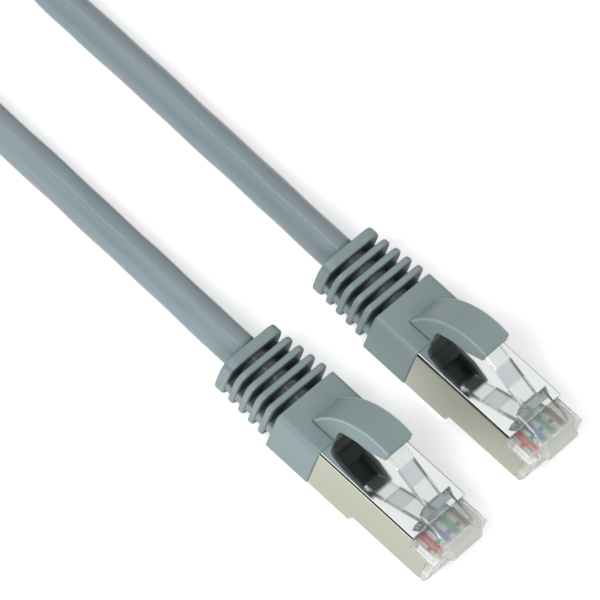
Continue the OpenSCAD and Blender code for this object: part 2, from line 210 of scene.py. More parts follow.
class CableSettings(bpy.types.PropertyGroup):
    """All settings of the patch cable."""

    jacket: PointerProperty(type=JacketSettings)
    boot: PointerProperty(type=BootSettings)
    metal: PointerProperty(type=MetalSettings)
    clear: PointerProperty(type=ClearSettings)
    stage: PointerProperty(type=StageSettings)


def settings():
    """Settings of the scene's patch cable."""
    return bpy.context.scene.patch_cable


# ------------------------------------------------------------------ shaders

WHITE = (1.0, 1.0, 1.0, 1.0)
MILK_TINT = (0.84, 0.85, 0.82, 1.0)
# Painted shade: darker, warmer tint that dims a bright reflection on the cheek windows' floors.
WINDOW_SHADE_TINT = (0.72, 0.70, 0.66, 1.0)
FLAT_TINT = (0.74, 0.78, 0.82, 1.0)
# Painted shade: dark grey-blue on the latch's catch, in place of its shade and dark reflections.
CATCH_SHADE_TINT = (0.17, 0.21, 0.235, 1.0)
ROOT_TINT = (0.84, 0.88, 0.82, 1.0)
# Painted shade: near-black lines on the latch's far edges, where clear plastic shows dark at its
# edges.
FAR_EDGE_SHADE_TINT = (0.08, 0.09, 0.10, 1.0)
# Painted reflection: dark line along the top of a shield's folds.
FOLD_REFLECTION_TINT = (0.05, 0.055, 0.055, 1.0)
PLASTIC_IOR = 1.5
CLEAR_IOR = 1.3
LET_THROUGH = 0.8


class Flow:
    """A shader socket on which Python's operators add Math nodes."""

    def __init__(self, finish, socket):
        self.finish = finish
        self.socket = socket

    def math(self, operation, *others):
        """One Math node on this socket and what follows."""
        inputs = dict(enumerate((self,) + others))
        return self.finish.node("ShaderNodeMath", {"operation": operation}, inputs)[0]

    def __add__(self, other):
        return self.math("ADD", other)

    def __mul__(self, other):
        return self.math("MULTIPLY", other)

    def __sub__(self, other):
        return self.math("SUBTRACT", other)

    def __pow__(self, other):
        return self.math("POWER", other)

    def __rsub__(self, other):
        inputs = {0: other, 1: self}
        return self.finish.node("ShaderNodeMath", {"operation": "SUBTRACT"}, inputs)[0]

    __radd__ = __add__
    __rmul__ = __mul__

    def clamp(self):
        """Kept between 0 and 1."""
        return self.finish.node("ShaderNodeClamp", {}, {"Value": self})[0]

    def ramp(self, low, high, to_low=0.0, to_high=1.0):
        """Smooth step between two values."""
        ends = {"From Min": low, "From Max": high, "To Min": to_low, "To Max": to_high}
        step = {"interpolation_type": "SMOOTHSTEP"}
        return self.finish.node("ShaderNodeMapRange", step, {"Value": self, **ends})[0]

    def fall(self, low, high):
        """Smooth step down between two values."""
        return self.ramp(low, high, 1.0, 0.0)

    def band(self, low, high, fade):
        """1 between two values, fading out past them."""
        return self.ramp(low - fade, low) * (1 - self.ramp(high, high + fade))


class Made:
    """A new node, whose outputs are read by number or by name."""

    def __init__(self, finish, node):
        self.finish = finish
        self.node = node

    def __getitem__(self, key):
        return Flow(self.finish, self.node.outputs[key])


class Finish:
    """A node tree with the one method that every node comes from."""

    def __init__(self, tree):
        self.tree = tree
        self.tree.nodes.clear()

    def node(self, kind, choices, sockets):
        """New node of a kind, with its choices set and its sockets filled or linked."""
        node = self.tree.nodes.new(kind)
        for key, value in choices.items():
            setattr(node, key, value)
        for key, value in sockets.items():
            if isinstance(value, Flow):
                self.tree.links.new(value.socket, node.inputs[key])
            else:
                node.inputs[key].default_value = value
        return Made(self, node)

    def noise(self, vector, scale, detail):
        """Soft noise from 0 to 1."""
        sockets = {"Vector": vector, "Scale": scale, "Detail": detail}
        return self.node("ShaderNodeTexNoise", {}, sockets)["Fac"]

    def mix(self, factor, first, second):
        """Mix of two colours."""
        sockets = {0: factor, 6: first, 7: second}
        return self.node("ShaderNodeMix", {"data_type": "RGBA"}, sockets)[2]

    def stretched(self, vector, scale):
        """Coordinates scaled apart on each axis."""
        return self.node("ShaderNodeMapping", {}, {"Vector": vector, "Scale": scale})[0]

    def bump(self, height, distance, strength):
        """Normal bent by a height."""
        sockets = {"Height": height, "Distance": distance, "Strength": strength}
        return self.node("ShaderNodeBump", {}, sockets)[0]

    def along(self, direction, way):
        """How far a direction points a given way, from -1 to 1."""
        sockets = {0: direction, 1: tuple(way)}
        return self.node("ShaderNodeVectorMath", {"operation": "DOT_PRODUCT"}, sockets)["Value"]


class Surface(Finish):
    """A material with object coordinates ready."""

    def __init__(self, name):
        self.material = bpy.data.materials.new(name)
        self.material.use_nodes = True
        super().__init__(self.material.node_tree)
        coordinates = self.node("ShaderNodeTexCoord", {}, {})
        self.place = coordinates["Object"]
        self.uv = coordinates["UV"]

    def in_plug(self, side, axis):
        """One coordinate in a plug's own millimetres."""
        to_plug = {"Location": tuple(-plug_origin(side) / MM), "Scale": (1 / MM,) * 3}
        moved = self.node("ShaderNodeMapping", {}, {"Vector": self.place, **to_plug})[0]
        return self.node("ShaderNodeSeparateXYZ", {}, {0: moved})[axis]

    def off_centre(self, side):
        """Distance from a plug's middle plane, in millimetres."""
        return self.in_plug(side, "Y").math("ABSOLUTE")

    def shade(self, sockets):
        """Principled shader to the output."""
        shader = self.node("ShaderNodeBsdfPrincipled", {}, sockets)
        self.node("ShaderNodeOutputMaterial", {}, {"Surface": shader[0]})
        return self.material

    def clear_shade(self, sockets, milk):
        """Glassy plastic with a share of milky scatter; lamps and the sky light what it holds."""
        glass = {"Transmission Weight": 1.0, "IOR": CLEAR_IOR, **sockets}
        glassy = self.node("ShaderNodeBsdfPrincipled", {}, glass)
        scatter = {"Base Color": MILK_TINT, "Roughness": 0.4}
        milky = self.node("ShaderNodeBsdfPrincipled", {}, scatter)
        both = self.node("ShaderNodeMixShader", {}, {0: milk, 1: glassy[0], 2: milky[0]})
        path = self.node("ShaderNodeLightPath", {}, {})
        open_share = (path["Is Shadow Ray"] + path["Is Diffuse Ray"]).clamp() * LET_THROUGH
        open_way = self.node("ShaderNodeBsdfTransparent", {}, {"Color": WHITE})
        lit = self.node("ShaderNodeMixShader", {}, {0: open_share, 1: both[0], 2: open_way[0]})
        self.node("ShaderNodeOutputMaterial", {}, {"Surface": lit[0]})
        return self.material


def rgba(tint, level=1.0):
    """Colour with alpha, darker or lighter by a level."""
    return tuple(min(1.0, c * level) for c in tint) + (1.0,)


def jacket_finish(name, along_uv, level=1.0):
    """Satin jacket with lengthwise streaks, faint scuffs and a fine grain; a level below 1 darkens
    its grey as painted shade.
    """
    own = settings().jacket
    s = Surface(name)
    if along_uv:
        streak_place = s.stretched(s.uv, (26.0, 5.0, 1.0))
        mottle_place = s.stretched(s.uv, (240.0, 6.0, 1.0))
    else:
        streak_place = s.stretched(s.place, (26.0, 900.0, 900.0))
        mottle_place = s.stretched(s.place, (240.0, 400.0, 400.0))
    streak = s.noise(streak_place, 1.0, 3.0)
    mottle = s.noise(mottle_place, 1.0, 4.0)
    grain = s.noise(s.place, 5200.0, 2.0)
    tone = streak.ramp(0.3, 0.7) * 0.6 + mottle * 0.4
    base = s.mix(tone, rgba(own.tint, 0.93 * level), rgba(own.tint, 1.08 * level))
    rough = streak.ramp(0.35, 0.65, own.gloss - 0.08, own.gloss + 0.1) + grain * 0.06
    relief = s.bump(streak * 0.85 + grain * 0.15, 0.00006, 0.4)
    satin = {"IOR": PLASTIC_IOR, "Specular IOR Level": 0.42}
    return s.shade({"Base Color": base, "Roughness": rough, "Normal": relief, **satin})


def boot_finish(side):
    """Soft moulded plastic: even grey, fine grain and uneven gloss, with painted shade in the
    hood's hollow, the rib grooves and the hood's foot, and a painted highlight along the hood's
    ridges.
    """
    own = settings().boot
    s = Surface("boot moulded grey " + side)
    side_view = s.node("ShaderNodeSeparateXYZ", {}, {0: s.uv})
    x, z = side_view["X"], side_view["Y"]
    from_centre = ((x - HOOD_CENTRE[0]) ** 2 + (z - HOOD_CENTRE[1]) ** 2) ** 0.5
    # Painted shade: the hood's hollow, above the plug's top and between its walls, is darkened to
    # 0.3 of the grey.
    hollow = 1 - from_centre.ramp(HOLLOW_R + 0.04, HOLLOW_R + 0.14)
    hollow = hollow * z.ramp(PLUG_TOP + 0.4, PLUG_TOP + 0.6)
    cloud = s.noise(s.place, 260.0, 4.0)
    grain = s.noise(s.place, 6500.0, 2.0)
    flow = s.noise(s.stretched(s.place, (120.0, 420.0, 420.0)), 1.0, 2.0)
    base = s.mix(cloud * 0.7 + grain * 0.3, rgba(own.tint, 0.95), rgba(own.tint, 1.05))
    hollow = hollow * s.off_centre(side).fall(HOLLOW_W / 2 - 0.045, HOLLOW_W / 2 + 0.055)
    base = s.mix(hollow, base, rgba(own.tint, 0.3))
    # Painted highlight: a pale line, half again as light as the grey, along the hood's long upper
    # edges.
    ridge = from_centre.ramp(HOOD_R - 0.42, HOOD_R - 0.28) * z.ramp(BOOT_TOP + 0.3, BOOT_TOP + 0.8)
    ridge = ridge * s.off_centre(side).ramp(HOOD_W / 2 - 0.28, HOOD_W / 2 - 0.12)
    base = s.mix(ridge * (cloud * 0.5 + 0.5), base, rgba(own.tint, 1.5))
    # Painted shade: the walls of the grooves between the ribs are darkened to 0.4 of the grey.
    groove_shade = x.fall(RELIEF_X - 0.1, RELIEF_X) * z.fall(BOOT_TOP - 0.9, BOOT_TOP - 0.3)
    groove_shade = groove_shade * s.off_centre(side).fall(BOOT_W / 2 - 1.2, BOOT_W / 2 - 0.6)
    base = s.mix(groove_shade, base, rgba(own.tint, 0.4))
    # Painted shade: a dark line along the foot of the hood's sides on the boot's top.
    from_foot = ((s.off_centre(side) - HOOD_W / 2) ** 2 + (z - BOOT_TOP) ** 2) ** 0.5
    crease_shade = from_foot.fall(0.08, 0.26) * x.ramp(HEEL_X - 0.3, HEEL_X)
    crease_shade = crease_shade * x.fall(BOOT_X - 0.3, BOOT_X)
    base = s.mix(crease_shade, base, rgba(own.tint, 0.45))
    rough = flow.ramp(0.3, 0.7, own.gloss - 0.05, own.gloss + 0.07) + grain * 0.05
    relief = s.bump(grain * 0.5 + flow * 0.5, 0.00003, 0.45)
    return s.shade({"Base Color": base, "Roughness": rough, "Normal": relief, "IOR": PLASTIC_IOR})


def plated_finish(name, tint, gloss, streaks=0.05, side=None):
    """Bright plated metal, faintly scratched and of uneven sheen; on a shield, a painted reflection
    tone on the sides and a painted dark reflection line along the upper folds.
    """
    s = Surface(name)
    brushed = s.noise(s.stretched(s.place, (300.0, 5200.0, 5200.0)), 1.0, 3.0)
    haze = s.noise(s.place, 330.0, 3.0)
    base = s.mix(haze, rgba(tint, 0.96), rgba(tint, 1.03))
    if side:
        beside = s.off_centre(side)
        own = settings().metal
        # Painted reflection: the shield's outer side faces take the darker, warmer side colour.
        base = s.mix(beside.ramp(PLUG_W / 2 - 0.03, PLUG_W / 2 - 0.01), base, rgba(own.side_reflection_tint))
        # Painted reflection: a thin dark line on the shield's top just inside each fold.
        fold_line_reflection = beside.band(PLUG_W / 2 - 0.25, PLUG_W / 2 - 0.13, 0.03)
        fold_line_reflection = fold_line_reflection * s.in_plug(side, "Z").ramp(PLUG_TOP - FOLD_R, PLUG_TOP - 0.3)
        base = s.mix(fold_line_reflection, base, FOLD_REFLECTION_TINT)
    rough = haze.ramp(0.35, 0.75, gloss * 0.8, gloss * 1.5) + brushed * streaks
    relief = s.bump(s.noise(s.place, 210.0, 2.0), 0.00004, 0.25)
    return s.shade({"Base Color": base, "Metallic": 1.0, "Roughness": rough, "Normal": relief})


def clear_finish(side):
    """Clear moulded plastic with a faint milky flow, hazier at the nose's front and cheeks, and
    painted shade on the floors of the cheek windows.
    """
    own = settings().clear
    s = Surface("clear housing " + side)
    front = s.in_plug(side, "X").ramp(-1.5, -1.1)
    beside = s.off_centre(side)
    cheek = beside.ramp(PLUG_W / 2 - 0.15, PLUG_W / 2 - 0.03) * 0.14
    # Painted shade on the floor of each cheek window.
    window = beside.band(3.5, 5.4, 0.1)
    window = window * s.in_plug(side, "Z").band(NOSE_TOP - 0.3, NOSE_TOP - 0.2, 0.05)
    swirl = s.noise(s.place, 420.0, 2.0)
    fine = s.noise(s.place, 7000.0, 2.0)
    base = s.mix(swirl, rgba(own.tint, 0.95), rgba(own.tint, 1.02))
    base = s.mix(window, base, WINDOW_SHADE_TINT)
    rough = swirl.ramp(0.3, 0.75, own.gloss, own.gloss + 0.1)
    relief = s.bump(swirl * 0.8 + fine * 0.2, 0.00003, 0.2)
    milk = front * 0.17 + cheek + 0.09
    return s.clear_shade({"Base Color": base, "Roughness": rough, "Normal": relief}, milk)


def latch_finish(side):
    """Clear latch: matt flat on the arm, painted shade on the catch, painted dark edge lines along
    the far edges and a milky rolled root.
    """
    own = settings().clear
    s = Surface("clear latch " + side)
    x, y = s.in_plug(side, "X"), s.in_plug(side, "Y")
    swirl = s.noise(s.place, 420.0, 2.0)
    fine = s.noise(s.place, 7000.0, 2.0)
    flat = x.band(FLAT_X - FLAT_HALF, FLAT_X + FLAT_HALF, 0.06)
    # Painted shade on the catch.
    catch = x.band(-6.6, -5.1, 0.12) * s.in_plug(side, "Z").ramp(9.75, 10.0)
    root = x.ramp(-1.6, -0.2)
    base = s.mix(swirl, rgba(own.tint, 0.96), rgba(own.tint, 1.02))
    base = s.mix(flat, base, FLAT_TINT)
    base = s.mix(catch, base, CATCH_SHADE_TINT)
    base = s.mix(root, base, ROOT_TINT)
    # Painted shade: dark lines along the arm's far edge and the latch plate's far edge beside the
    # catch.
    far_edge_shade = y.band(1.52, 1.7, 0.1) * x.band(-12.4, -7.0, 0.1)
    catch_edge_shade = y.ramp(2.82, 2.92) * x.band(-6.4, -3.2, 0.1)
    base = s.mix((far_edge_shade + catch_edge_shade).clamp(), base, FAR_EDGE_SHADE_TINT)
    rough = swirl * 0.03 + own.gloss * 0.5 + flat * (0.35 + fine * 0.2) + catch * 0.16 + root * 0.24
    relief = s.bump(swirl * 0.8 + fine * 0.2, 0.00003, 0.2)
    milk = root * 0.2 + 0.05
    return s.clear_shade({"Base Color": base, "Roughness": rough, "Normal": relief}, milk)


def insulation_finish(name, tint, mate=None):
    """Conductor insulation; a white one carries rings in its mate's colour."""
    s = Surface(name)
    cloud = s.noise(s.place, 900.0, 3.0)
    base = s.mix(cloud, rgba(tint, 0.93), rgba(tint, 1.05))
    if mate:
        x = s.node("ShaderNodeSeparateXYZ", {}, {0: s.place})[0]
        wave = (x * 2400.0 + cloud * 0.8).math("SINE")
        base = s.mix(wave.ramp(0.55, 0.75), base, rgba(mate))
    relief = s.bump(cloud, 0.00002, 0.3)
    rough = cloud.ramp(0.3, 0.7, 0.3, 0.42)
    return s.shade({"Base Color": base, "Roughness": rough, "Normal": relief})


# ------------------------------------------------------------------ modelling, in a plug's sizes


def deselect():
    """Leaves edit mode and selects nothing."""
    if bpy.context.mode != "OBJECT":
        bpy.ops.object.mode_set(mode="OBJECT")
    bpy.ops.object.select_all(action="DESELECT")


def activate(piece):
    """Selects one piece alone."""
    deselect()
    piece.select_set(True)
    bpy.context.view_layer.objects.active = piece


def newest(name):
    """Names the primitive just added and puts its place in its mesh."""
    piece = bpy.context.active_object
    piece.name = name
    piece.data.name = name
    bpy.ops.object.transform_apply(location=True, rotation=True, scale=True)
    return piece


def block(name, x, y, z):
    """Box between pairs of coordinates."""
    deselect()
    middle = [(p[0] + p[1]) / 2 for p in (x, y, z)]
    size = [p[1] - p[0] for p in (x, y, z)]
    bpy.ops.mesh.primitive_cube_add(size=1, location=middle, scale=size)
    return newest(name)


def rod(name, x, y, z, radius, sides=32):
    """Round bar along the plug."""
    deselect()
    bpy.ops.mesh.primitive_cylinder_add(
        vertices=sides,
        radius=radius,
        depth=x[1] - x[0],
        location=((x[0] + x[1]) / 2, y, z),
        rotation=(0, math.pi / 2, 0),
    )
    return newest(name)


def plate(name, outline, width):
    """Side view (x, z), drawn on a filled ring and extruded across the plug."""
    deselect()
    bpy.ops.mesh.primitive_circle_add(vertices=len(outline), radius=1, fill_type="NGON")
    piece = newest(name)
    for vertex, (x, z) in zip(piece.data.vertices, outline):
        vertex.co = (x, -width / 2, z)
    bpy.ops.object.mode_set(mode="EDIT")
    bpy.ops.mesh.select_all(action="SELECT")
    bpy.ops.mesh.extrude_region_move(TRANSFORM_OT_translate={"value": (0, width, 0)})
    bpy.ops.mesh.select_all(action="SELECT")
    bpy.ops.mesh.normals_make_consistent(inside=False)
    bpy.ops.object.mode_set(mode="OBJECT")
    return piece


def arc(centre, radius, start, end, steps):
    """Points on a circle, angles in degrees."""
    turns = [math.radians(start + (end - start) * k / steps) for k in range(steps + 1)]
    return [(centre[0] + radius * math.cos(a), centre[1] + radius * math.sin(a)) for a in turns]


def round_edges(piece, radius, segments, test):
    """Bevels the edges that pass the test of their two ends."""
    activate(piece)
    bpy.ops.object.mode_set(mode="EDIT")
    bpy.ops.mesh.select_mode(type="EDGE")
    bpy.ops.mesh.select_all(action="DESELECT")
    mesh = bmesh.from_edit_mesh(piece.data)
    for edge in mesh.edges:
        edge.select_set(test(edge.verts[0].co, edge.verts[1].co))
    mesh.select_flush_mode()
    bmesh.update_edit_mesh(piece.data)
    bpy.ops.mesh.bevel(offset=radius, segments=segments, affect="EDGES")
    bpy.ops.object.mode_set(mode="OBJECT")


def along_x(p, q):
    """True for an edge that runs along the plug."""
    return abs(p.y - q.y) < 1e-4 and abs(p.z - q.z) < 1e-4


def modify(piece, kind, **choices):
    """Adds a modifier with these choices and applies it."""
    activate(piece)
    bpy.ops.object.modifier_add(type=kind)
    modifier = piece.modifiers[-1]
    for key, value in choices.items():
        setattr(modifier, key, value)
    bpy.ops.object.modifier_apply(modifier=modifier.name)
    return piece


def soften(piece, radius, segments=2, angle=35):
    """Small bevel on every sharp edge."""
    return modify(
        piece,
        "BEVEL",
        width=radius,
        segments=segments,
        limit_method="ANGLE",
        angle_limit=math.radians(angle),
        miter_outer="MITER_ARC",
        harden_normals=False,
    )


def combine(piece, others, operation):
    """Joins or cuts a solid with others, which are used up."""
    for other in others:
        modify(piece, "BOOLEAN", operation=operation, object=other, solver="EXACT")
        bpy.data.objects.remove(other, do_unlink=True)
    return piece


def add(piece, *others):
    """Joins other solids to a piece."""
    return combine(piece, others, "UNION")


def cut(piece, *others):
    """Cuts other solids out of a piece."""
    return combine(piece, others, "DIFFERENCE")


def clean(piece):
    """Merges corners that coincide and faces that lie in one plane."""
    activate(piece)
    bpy.ops.object.mode_set(mode="EDIT")
    bpy.ops.mesh.select_all(action="SELECT")
    bpy.ops.mesh.remove_doubles(threshold=1e-4)
    bpy.ops.mesh.dissolve_limited(angle_limit=math.radians(1))
    bpy.ops.object.mode_set(mode="OBJECT")
    return piece


def slice_bend(piece, start, end, count):
    """Splits the faces across the way from start to end, in even steps."""
    activate(piece)
    bpy.ops.object.mode_set(mode="EDIT")
    bpy.ops.mesh.select_all(action="SELECT")
    bpy.ops.mesh.quads_convert_to_tris(quad_method="BEAUTY", ngon_method="BEAUTY")
    for k in range(count + 1):
        bpy.ops.mesh.select_all(action="SELECT")
        place = start.lerp(end, k / count)
        bpy.ops.mesh.bisect(plane_co=place, plane_no=end - start, threshold=1e-5)
    bpy.ops.object.mode_set(mode="OBJECT")
    return piece


def keep_side_view(piece):
    """Stores the unbent side view as the piece's own UV, in the plug's millimetres."""
    mesh = piece.data
    while mesh.uv_layers:
        mesh.uv_layers.remove(mesh.uv_layers[0])
    layer = mesh.uv_layers.new(name="side view")
    for loop, corner in zip(mesh.loops, layer.data):
        place = mesh.vertices[loop.vertex_index].co
        corner.uv = (place.x, place.z)
    return piece


def smooth(piece, angle=38):
    """Welds slivers, then shades so that broad faces stay flat and only rounded edges turn."""
    activate(piece)
    bpy.ops.object.mode_set(mode="EDIT")
    bpy.ops.mesh.select_all(action="SELECT")
    bpy.ops.mesh.remove_doubles(threshold=1e-3)
    bpy.ops.mesh.dissolve_degenerate(threshold=1e-3)
    bpy.ops.object.mode_set(mode="OBJECT")
    bpy.ops.object.shade_smooth_by_angle(angle=math.radians(angle))
    return modify(piece, "WEIGHTED_NORMAL", keep_sharp=True)


def both_plugs(piece, name):
    """Copies a piece made in a plug's own millimetres to both plugs, each with its own mesh."""
    made = {}
    for side in SIDES:
        copy = piece.copy()
        copy.data = piece.data.copy()
        copy.name = copy.data.name = f"{name}_{side}"
        bpy.context.scene.collection.objects.link(copy)
        copy.data.transform(Matrix.Translation(plug_origin(side)) @ Matrix.Scale(MM, 4))
        copy.data.update()
        made[side] = copy
    bpy.data.objects.remove(piece, do_unlink=True)
    return made


def paint(piece, material):
    """Gives a piece its one material."""
    piece.data.materials.clear()
    piece.data.materials.append(material)


def repaint(node, material):
    """Gives a carried-over CAD node its finish, in the slots that it has."""
    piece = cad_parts[node]
    for slot in piece.material_slots:
        slot.material = material
    if not piece.material_slots:
        piece.data.materials.append(material)


# ------------------------------------------------------------------ cable route

COIL_CENTRE = (-132.0, 1.6)
COIL_R = 33.4
COIL_PITCH = 6.2
COIL_LAYER = 6.1
COIL_FROM = -52.5
COIL_TURNS = 4 + COIL_FROM / 180
CLIMB_TURNS = 0.5
TURNS_IN = (COIL_TURNS - CLIMB_TURNS) / 2
CLIMB_DIP = 0.9
ROUTE_A = [
    (-34, -11.3, 4.3), (-42, -10.7, 3.5), (-50, -10.3, 2.9), (-58, -10.1, 2.8),
    (-66, -10.1, 2.8), (-74, -10.1, 2.8), (-82, -10.1, 2.8), (-88, -10.6, 2.8),
    (-93, -11.9, 2.8), (-97.7, -14.2, 2.8),
]
ROUTE_B = [
    (-36, 12.1, 4.3), (-44, 12.7, 3.5), (-52, 13.1, 2.9), (-60, 13.3, 2.8),
    (-68, 13.3, 2.8), (-76, 13.3, 2.8), (-82, 13.3, 3), (-88, 13.8, 4.2),
    (-93, 15.1, 6), (-97.7, 17.4, 7.8),
]
TURN_STEPS = 48
SPLIT = 12
FADE_RINGS = 8


def coil_climb(t):
    """Share of the climb to the upper layer that is done after t turns."""
    return min(max((t - TURNS_IN) / CLIMB_TURNS, 0.0), 1.0)


def coil_point(t):
    """Place on the coil after t turns: in on the table, up a layer, and out again."""
    a = math.radians(COIL_FROM - 360 * t)
    lift = coil_climb(t)
    radius = COIL_R - CLIMB_DIP * math.sin(math.pi * lift)
    radius -= COIL_PITCH * min(t, TURNS_IN, COIL_TURNS - t)
    height = CORD_R + COIL_LAYER * (1 - math.cos(math.pi * lift)) / 2
    x, y = COIL_CENTRE
    return Vector((x + radius * math.cos(a), y + radius * math.sin(a), height))


def coil_heading(t):
    """Way in which the cable runs after t turns."""
    a = math.radians(COIL_FROM - 360 * t)
    return Vector((math.sin(a), -math.cos(a), 0))


def cord_exit(side):
    """Where the free cable leaves a boot's collar."""
    place = plug_origin(side) / MM
    return Vector((place.x - COLLAR_END, place.y, CABLE_Z))


def cord_points():
    """Route of the free cable from plug a through the coil to plug b."""
    start = coil_point(0) - CORD_D * coil_heading(0)
    end = coil_point(COIL_TURNS) + CORD_D * coil_heading(COIL_TURNS)
    out, back = cord_exit("a"), cord_exit("b")
    straight = Vector((CORD_D, 0, 0))
    steps = int(COIL_TURNS * TURN_STEPS)
    coil = [coil_point(COIL_TURNS * k / steps) for k in range(steps + 1)]
    head = [out, out - straight] + [Vector(p) for p in ROUTE_A]
    head += [start - CORD_D * coil_heading(0), start]
    tail = [back, back - straight] + [Vector(p) for p in ROUTE_B]
    tail += [end + CORD_D * coil_heading(COIL_TURNS), end]
    return head + coil + tail[::-1]


def smooth_path(points, step):
    """Even steps along a curve through the points."""
    fine = []
    last = len(points) - 1
    for i in range(last):
        p = [points[max(i - 1, 0)], points[i], points[i + 1], points[min(i + 2, last)]]
        gaps = [max((p[k + 1] - p[k]).length, 1e-6) ** 0.5 for k in range(3)]
        run = gaps[1]
        before = (p[1] - p[0]) / gaps[0] - (p[2] - p[0]) / (gaps[0] + run) + (p[2] - p[1]) / run
        after = (p[2] - p[1]) / run - (p[3] - p[1]) / (run + gaps[2]) + (p[3] - p[2]) / gaps[2]
        for k in range(SPLIT):
            t = k / SPLIT
            fine.append(
                (2 * t**3 - 3 * t**2 + 1) * p[1]
                + (t**3 - 2 * t**2 + t) * before * run
                + (3 * t**2 - 2 * t**3) * p[2]
                + (t**3 - t**2) * after * run
            )
    fine.append(points[-1])
    run = [0.0]
    for p, q in zip(fine, fine[1:]):
        run.append(run[-1] + (q - p).length)
    count = round(run[-1] / step)
    even, i = [], 0
    for k in range(count + 1):
        want = run[-1] * k / count
        while i < len(run) - 2 and run[i + 1] < want:
            i += 1
        even.append(fine[i].lerp(fine[i + 1], (want - run[i]) / max(run[i + 1] - run[i], 1e-9)))
    return even


def cord_mesh(path, sides, ridge, lay):
    """Tube in metres along a path in millimetres, the pairs faintly showing; UV along and round."""
    corners, faces, uvs = [], [], []
    run = 0.0
    for i, point in enumerate(path):
        ahead = (path[min(i + 1, len(path) - 1)] - path[max(i - 1, 0)]).normalized()
        side = ahead.cross(Vector((0, 0, 1))).normalized()
        up = side.cross(ahead)
        before = run * MM
        run += (point - path[i - 1]).length if i else 0.0
        fade = min(1.0, i / FADE_RINGS, (len(path) - 1 - i) / FADE_RINGS)
        for k in range(sides):
            a = 2 * math.pi * k / sides - math.pi / 2
            lobes = math.cos(4 * (a + 2 * math.pi * run / lay))
            radius = CORD_R + ridge * fade * (lobes + 0.4 * math.cos(2 * a + run / 17)) / 2
            corners.append((point + radius * (math.cos(a) * side + math.sin(a) * up)) * MM)
        if i:
            row = (i - 1) * sides
            for k in range(sides):
                n = (k + 1) % sides
                faces.append((row + k, row + sides + k, row + sides + n, row + n))
                left, right = k / sides, (k + 1) / sides
                uvs += [(before, left), (run * MM, left), (run * MM, right), (before, right)]
    faces.append(tuple(range(sides)))
    faces.append(tuple(reversed(range(len(corners) - sides, len(corners)))))
    uvs += [(0.0, 0.0)] * (2 * sides)
    mesh = bpy.data.meshes.new("cable")
    mesh.from_pydata(corners, [], faces)
    layer = mesh.uv_layers.new(name="along")
    for loop, uv in zip(layer.data, uvs):
        loop.uv = uv
    mesh.shade_smooth()
    mesh.validate()
    return mesh


# ------------------------------------------------------------------ operators

CAMERA_PLACE = Vector((0.2385, -0.60038, 0.94666))
CAMERA_AXES = (
    Vector((0.720398, 0.657373, 0.221105)),
    Vector((0.655467, -0.541107, -0.526845)),
    Vector((-0.226692, 0.524465, -0.820699)),
)


class CABLE_OT_camera(bpy.types.Operator):
    """Sets the camera high over the near plug's left side"""

    bl_idname = "patch_cable.camera"
    bl_label = "Camera"

    def execute(self, context):
        camera = bpy.data.cameras.new("camera")
        camera.sensor_width = 36
        camera.lens = settings().stage.lens
        camera.clip_start = 0.05
        camera.clip_end = 20
        view = bpy.data.objects.new("camera", camera)
        context.scene.collection.objects.link(view)
        right, down, ahead = CAMERA_AXES
        turn = Matrix((right, -down, -ahead)).transposed().to_4x4()
        view.matrix_world = Matrix.Translation(CAMERA_PLACE) @ turn
        context.scene.camera = view
        return {"FINISHED"}


class CABLE_OT_cable(bpy.types.Operator):
    """Lays the free cable from one boot through its coil to the other"""

    bl_idname = "patch_cable.cable"
    bl_label = "Cable"

    def execute(self, context):
        own = settings().jacket
        path = smooth_path(cord_points(), own.ring_step)
        cable = bpy.data.objects.new("cable", cord_mesh(path, own.ring_sides, own.ridge, own.lay))
        context.scene.collection.objects.link(cable)
        paint(cable, jacket_finish("jacket grey", True))
        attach(cable, "cable")
        tuple(cord_exit("a") * MM)
        [tuple(p * MM) for p in path]
        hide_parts("cord_stretch_a", "cord_coil", "cord_stretch_b")
        # Painted shade: the jacket inside the boot is darkened to a fifth of its grey, so the gaps
        # between the ribs look deep.
        inside = jacket_finish("jacket grey inside the boot", False, 0.2)
        for side in SIDES:
            repaint("jacket_end_" + side, inside)
        return {"FINISHED"}


def hood_outline():
    """Side view of the hood: arch, lip, skirt's arc, and the fillet down to the boot's front."""
    arch = arc(HOOD_CENTRE, HOOD_R, 160.35, 77.4, 44)
    lip = [(-14.5, 13.55), (-14.75, 13.5)]
    skirt = arc(SKIRT_CENTRE, SKIRT_R, 90, 114.6, 12)
    fillet = arc((-21.3, 10.05), 1.5, 112, 180, 8)
    return arch + lip + skirt + fillet + [(BOOT_X, 8.2)]


def hood_solid(own):
    """The hood with the hollow that holds the latch."""
    hood = soften(plate("hood", hood_outline(), HOOD_W), own.hood_edge, 3, 40)
    under = arc(HOOD_CENTRE, HOLLOW_R, 107.6, 60, 20) + [(-12, 5), (-19.8, 5)]
    return cut(hood, plate("hollow", under, HOLLOW_W))


def rib_solid(own, k):
    """A rounded plate round the cable; the last one is the thicker end collar."""
    part = k / RIBS
    thick = 1.7 if k == RIBS else 1.0
    front = RELIEF_X - (k + 1) * RIB_GAP - k
    width, height, corner = BOOT_W - 0.7 * part, 7.1 + 0.2 * part, 1.1 + part
    across = (-width / 2, width / 2)
    rib = block(f"rib {k}", (front - thick, front), across, (BOOT_TOP - height, BOOT_TOP))
    round_edges(rib, corner, 6, along_x)
    soften(rib, own.rib_edge, 3, 50)
    for way in (-1, 1):
        y = sorted((way * CORD_R * 0.9, way * (width / 2 - 0.35)))
        add(rib, block("web", (front - 0.15, front + RIB_GAP + 0.15), y, (CABLE_Z - 1.5, CABLE_Z)))
    return rib


